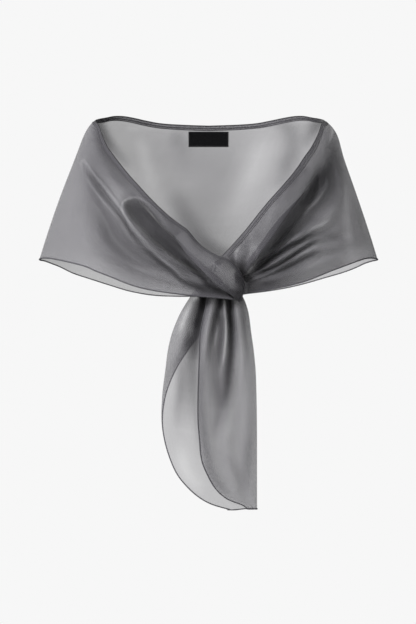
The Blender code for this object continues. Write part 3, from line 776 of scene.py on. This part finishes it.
def makeBand(name, grid, widths, extra=0.0):
    down = grid[1] - grid[0]
    crest = grid[0] - down / np.linalg.norm(down, axis=-1, keepdims=True) * band["crest"]
    shares = np.linspace(0, 1, band["rows"] + 1)
    near = [lineBelow(grid, widths[0] * share, band["lift"]) for share in shares[::-1]]
    far = [lineBelow(grid, widths[1] * share, -band["lift"]) for share in shares]
    folded = np.array([*near, crest, *far])
    lines = band["lines"]
    densityAndShade = np.array([*lines, lines[-1], *lines[::-1]])[:, None] + extra
    for corner in band["corners"]:
        away = np.linalg.norm(folded - corner, axis=-1)
        densityAndShade = densityAndShade + band["cornerDensityAndShade"] * np.exp(-((away / band["cornerReach"]) ** 2))
    return clothObject(name, [(folded, densityAndShade)], bandCloth)


print("bands")
leftEdge = np.hstack([leftGrid[: len(strandGrid)], strandGrid[:, 1:]])
backBand = makeBand("backBand", backGrid, band["back"])
leftBand = makeBand("leftBand", leftEdge, band["left"], band["frontDensityAndShade"])
rightBand = makeBand("rightBand", rightGrid, band["right"], band["frontDensityAndShade"])


def startTree(name, sizes, finishes, output):
    # a node tree with named inputs: the tree, what it is given, and where its result goes
    tree = bpy.data.node_groups.new(name, "GeometryNodeTree")
    newSocket = tree.interface.new_socket
    newSocket("Path", in_out="INPUT", socket_type="NodeSocketGeometry")
    for title, value in sizes.items():
        newSocket(title, in_out="INPUT", socket_type="NodeSocketFloat").default_value = value
    for title in finishes:
        newSocket(title, in_out="INPUT", socket_type="NodeSocketMaterial")
    newSocket(output, in_out="OUTPUT", socket_type="NodeSocketGeometry")
    given = tree.nodes.new("NodeGroupInput").outputs
    return tree, given, tree.nodes.new("NodeGroupOutput").inputs[output]


def stitchAlong(tree, curve, shape, given, lean, seed):
    # a stitch at every step of the curve, each leaning its own way, as one mesh
    steps = {"Curve": curve, "Length": given["Stitch Spacing"]}
    steps = addNode(tree, "GeometryNodeCurveToPoints", steps, mode="LENGTH")
    lean = {"Min": lean[0], "Max": lean[1], "Seed": seed}
    lean = addNode(tree, "FunctionNodeRandomValue", lean, data_type="FLOAT_VECTOR")["Value"]
    lean = addNode(tree, "FunctionNodeEulerToRotation", {"Euler": lean})["Rotation"]
    turned = {"Rotation": steps["Rotation"], "Rotate By": lean}
    turned = addNode(tree, "FunctionNodeRotateRotation", turned, rotation_space="LOCAL")["Rotation"]
    placed = {"Points": steps["Points"], "Instance": shape, "Rotation": turned}
    placed = addNode(tree, "GeometryNodeInstanceOnPoints", placed)["Instances"]
    realized = addNode(tree, "GeometryNodeRealizeInstances", {"Geometry": placed})["Geometry"]
    painted = {"Geometry": realized, "Material": given["Thread"]}
    return addNode(tree, "GeometryNodeSetMaterial", painted)["Geometry"]


hem = {
    "radius": 0.8,
    "sides": 7,
    "uneven": (0.8, 1.2),  # least and most, as shares of the radius
    "unevenScale": 60.0,
    "stitchEvery": 2.6,
    "stitchRadius": 0.16,
    "stitchSides": 5,
    "stitchSteps": 9,
    "stitchReach": 1.25,  # how far round the roll a stitch stands, in radii
    "stitchLean": ((0.35, -0.15, 0.0), (0.75, 0.15, 3.1)),
    "seed": 4,
}


def makeHemTree():
    # a roll along the path, with an overcast stitch round it at every step
    sizes = {
        "Roll Radius": hem["radius"] * mm,
        "Stitch Spacing": hem["stitchEvery"] * mm,
        "Stitch Radius": hem["stitchRadius"] * mm,
        "Stitch Reach": hem["stitchReach"],
    }
    tree, given, result = startTree("rolledHem", sizes, ("Cloth", "Thread"), "Hem")

    def circle(sides, radius):
        sized = {"Resolution": sides, "Radius": radius}
        return addNode(tree, "GeometryNodeCurvePrimitiveCircle", sized)["Curve"]

    path = addNode(tree, "GeometryNodeMeshToCurve", {"Mesh": given["Path"]})["Curve"]
    # the roll is uneven, as a hand makes it
    noise = addNode(tree, "ShaderNodeTexNoise", {"Scale": hem["unevenScale"], "Detail": 1.0})[0]
    limits = {"Value": noise, "To Min": hem["uneven"][0], "To Max": hem["uneven"][1]}
    uneven = addNode(tree, "ShaderNodeMapRange", limits)["Result"]
    radius = compute(tree, "MULTIPLY", uneven, given["Roll Radius"])
    tube = {"Curve": path, "Profile Curve": circle(hem["sides"], 1.0), "Scale": radius, "Fill Caps": True}
    tube = addNode(tree, "GeometryNodeCurveToMesh", tube)["Mesh"]
    rolled = {"Geometry": tube, "Material": given["Cloth"]}
    rolled = addNode(tree, "GeometryNodeSetMaterial", rolled)["Geometry"]
    # one stitch is a thin ring round the roll
    reach = compute(tree, "MULTIPLY", given["Roll Radius"], given["Stitch Reach"])
    reach = addNode(tree, "ShaderNodeCombineXYZ", {"X": reach, "Y": reach, "Z": reach})["Vector"]
    ring = {"Geometry": circle(hem["stitchSteps"], 1.0), "Scale": reach}
    ring = addNode(tree, "GeometryNodeTransform", ring)["Geometry"]
    stitch = {"Curve": ring, "Profile Curve": circle(hem["stitchSides"], given["Stitch Radius"])}
    stitch = addNode(tree, "GeometryNodeCurveToMesh", stitch)["Mesh"]
    joined = tree.nodes.new("GeometryNodeJoinGeometry")
    sewn = stitchAlong(tree, path, stitch, given, hem["stitchLean"], hem["seed"])
    for part in (sewn, rolled):
        tree.links.new(part, joined.inputs["Geometry"])
    tree.links.new(joined.outputs["Geometry"], result)
    return tree


def runTree(name, tree, paths, finishes):
    # the tree's result on some paths of points, as a plain mesh object
    guide = bpy.data.meshes.new(name + "Path")
    points, edges = [], []
    for path in paths:
        edges += [(i, i + 1) for i in range(len(points), len(points) + len(path) - 1)]
        points += (path * mm).tolist()
    guide.from_pydata(points, edges, [])
    holder = bpy.data.objects.new(name, guide)
    bpy.context.scene.collection.objects.link(holder)
    modifier = holder.modifiers.new("Tree", "NODES")
    modifier.node_group = tree
    for item in tree.interface.items_tree:
        if item.name in finishes:
            modifier[item.identifier] = finishes[item.name]
    bpy.context.view_layer.update()
    graph = bpy.context.evaluated_depsgraph_get()
    result = bpy.data.meshes.new_from_object(holder.evaluated_get(graph))
    holder.modifiers.remove(modifier)
    holder.data = result
    result.name = name
    result.shade_smooth()
    return holder


print("hems")
hemTree = makeHemTree()
hemFinish = {"Cloth": hemCloth, "Thread": hemCloth}
bottomPath = np.concatenate([leftGrid[-1, ::-1], backGrid[-1, 1:-1], rightGrid[-1]])
bottomHem = runTree("bottomHem", hemTree, [bottomPath], hemFinish)
tailPath = np.concatenate([tailPoints[0], tailPoints[1:-1, -1], tailPoints[-1, ::-1]])
tailHem = runTree("tailHem", hemTree, [tailPath], hemFinish)

# machine stitches along the bands and round the label
stitches = {
    "every": 2.7,
    "length": 1.9,
    "radius": 0.17,
    "sides": 6,
    "lean": ((-0.06, -0.06, -0.06), (0.06, 0.06, 0.06)),
    "seed": 9,
}


def makeStitchTree():
    # one short straight stitch at every step of the path
    sizes = {
        "Stitch Spacing": stitches["every"] * mm,
        "Stitch Length": stitches["length"] * mm,
        "Thread Radius": stitches["radius"] * mm,
    }
    tree, given, result = startTree("machineStitches", sizes, ("Thread",), "Stitches")
    path = addNode(tree, "GeometryNodeMeshToCurve", {"Mesh": given["Path"]})["Curve"]
    stitch = {"Radius": given["Thread Radius"], "Depth": given["Stitch Length"]}
    stitch["Vertices"] = stitches["sides"]
    stitch = addNode(tree, "GeometryNodeMeshCylinder", stitch)["Mesh"]
    tree.links.new(stitchAlong(tree, path, stitch, given, stitches["lean"], stitches["seed"]), result)
    return tree


def stitchBand(name, grid):
    # a line of stitches on each face of the band
    lifts = (band["stitchLift"], -band["stitchLift"])
    paths = [lineBelow(grid, band["stitchDrop"], lift)[1:-1] for lift in lifts]
    return runTree(name, stitchTree, paths, sewn)


print("stitches")
stitchTree = makeStitchTree()
sewn = {"Thread": thread}
backStitches = stitchBand("backBandStitches", backGrid)
leftStitches = stitchBand("leftBandStitches", leftGrid)
rightStitches = stitchBand("rightBandStitches", rightGrid)

label = {
    "width": 58.0,
    "height": 21.5,
    "drop": 18.4,  # from the level of the shoulders to its middle
    "lift": 0.7,
    "thickness": 0.5,
    "rows": 24,
    "columns": 60,
    "stitchInset": 1.3,
    "stitchLift": 1.15,
    "stitchPoints": (40, 14),  # along its width and its height
}


def roundBack(x, height):
    # the angle from the middle of the back at which it lies this far across
    return np.degrees(np.arcsin((x / halfWidth(height)) ** (figure["roundness"] / 2)))


def makeLabel():
    half = label["height"] / 2
    height = np.linspace(half - label["drop"], -half - label["drop"], label["rows"])[:, None]
    spread = roundBack(label["width"] / 2, height) * np.linspace(-1, 1, label["columns"])
    grid = backPoint(90 + spread, height, -label["lift"])
    patch = clothObject("labelPatch", [(grid, 0.0)], labelSatin, label["thickness"])
    # a line of stitches all round, just inside the label's edge
    inner = label["stitchInset"]
    countX, countZ = label["stitchPoints"]
    x = np.linspace(inner - label["width"] / 2, label["width"] / 2 - inner, countX)
    z = np.linspace(inner - half, half - inner, countZ)
    loop = [(u, half - inner) for u in x] + [(x[-1], v) for v in z[::-1]]
    loop += [(u, inner - half) for u in x[::-1]] + [(x[0], v) for v in z]
    u, v = np.array(loop).T
    height = v - label["drop"]
    loop = backPoint(90 + np.sign(u) * roundBack(np.abs(u), height), height, -label["stitchLift"])
    return patch, runTree("labelStitches", stitchTree, [loop], sewn)


print("label")
labelPatch, labelStitches = makeLabel()

studio = {
    "background": 0.93,
    "ambient": 0.22,
    "cameraDistance": 2600,
    "cameraHeight": -268.8,
    "lens": 107.14,
    "frameHeight": 624,
    "shift": -0.5,  # to the side, in the same unit as the frame's height
    "floorDrop": 1350,
    "floorRadius": 2300,
    "floorSides": 96,
    "floorColour": 0.8,
    "floorRoughness": 0.9,
    "lights": (
        # name, x, y, z, size, watts
        ("key", -1500, -1300, 900, 900, 100),
        ("fill", 1400, -1900, 200, 1400, 8),
    ),
    "aimHeight": -200,
    "layers": 64,  # how many sheer faces light passes
}


def grey(level):
    return (level, level, level, 1)


def makeStudio():
    scene = bpy.context.scene
    camera = bpy.data.objects.new("camera", bpy.data.cameras.new("camera"))
    scene.collection.objects.link(camera)
    camera.location = (0, -studio["cameraDistance"] * mm, studio["cameraHeight"] * mm)
    camera.rotation_euler = (math.pi / 2, 0, 0)
    camera.data.lens = studio["lens"]
    camera.data.shift_x = studio["shift"] / studio["frameHeight"]
    scene.camera = camera
    for name, x, y, z, size, watts in studio["lights"]:
        lamp = bpy.data.lights.new(name, "AREA")
        lamp.size = size * mm
        lamp.energy = watts
        holder = bpy.data.objects.new(name, lamp)
        scene.collection.objects.link(holder)
        holder.location = (x * mm, y * mm, z * mm)
        aim = holder.location.copy()
        aim.z -= studio["aimHeight"] * mm
        holder.rotation_euler = aim.to_track_quat("Z", "Y").to_euler()
        holder.visible_camera = False
    # a pale backdrop that gives only a little light of its own
    world = bpy.data.worlds.new("studio")
    scene.world = world
    world.use_nodes = True
    tree = world.node_tree
    seen = tree.nodes["Background"]
    seen.inputs["Color"].default_value = grey(studio["background"])
    lit = addNode(tree, "ShaderNodeBackground", {"Color": grey(studio["ambient"])})["Background"]
    path = addNode(tree, "ShaderNodeLightPath", {})["Is Camera Ray"]
    parts = {"Fac": path, 1: lit, 2: seen.outputs["Background"]}
    mix = addNode(tree, "ShaderNodeMixShader", parts)["Shader"]
    tree.links.new(mix, tree.nodes["World Output"].inputs["Surface"])
    scene.view_settings.view_transform = "Standard"
    scene.cycles.transparent_max_bounces = studio["layers"]

    radius = studio["floorRadius"] * mm
    bpy.ops.mesh.primitive_circle_add(vertices=studio["floorSides"], radius=radius, fill_type="NGON")
    floor = bpy.context.active_object
    floor.name = "floor"
    floor.location.z = -studio["floorDrop"] * mm
    paint = bpy.data.materials.new("floorPaint")
    paint.use_nodes = True
    shader = paint.node_tree.nodes["Principled BSDF"].inputs
    shader["Base Color"].default_value = grey(studio["floorColour"])
    shader["Roughness"].default_value = studio["floorRoughness"]
    floor.data.materials.append(paint)


print("studio")
makeStudio()

pieces = (
    # piece, slot, replaced nodes
    (backCloth, "organza", "back"),
    (leftFrontCloth, "organza", "over_front", "knot_band"),
    (rightFrontCloth, "organza", "under_front"),
    (tailCloth, "organza", "tail"),
    (backBand, "doubled_organza", "band_back"),
    (leftBand, "doubled_organza", "band_over_front"),
    (rightBand, "doubled_organza", "band_under_front"),
    (labelPatch, "label_satin", "label"),
    (bottomHem, "doubled_organza"),
    (tailHem, "doubled_organza"),
    (backStitches, "doubled_organza"),
    (leftStitches, "doubled_organza"),
    (rightStitches, "doubled_organza"),
    (labelStitches, "label_satin"),
)
for piece, slot, *nodes in pieces:
    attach(piece, cloth["body"])
    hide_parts(*nodes)

print("finish")
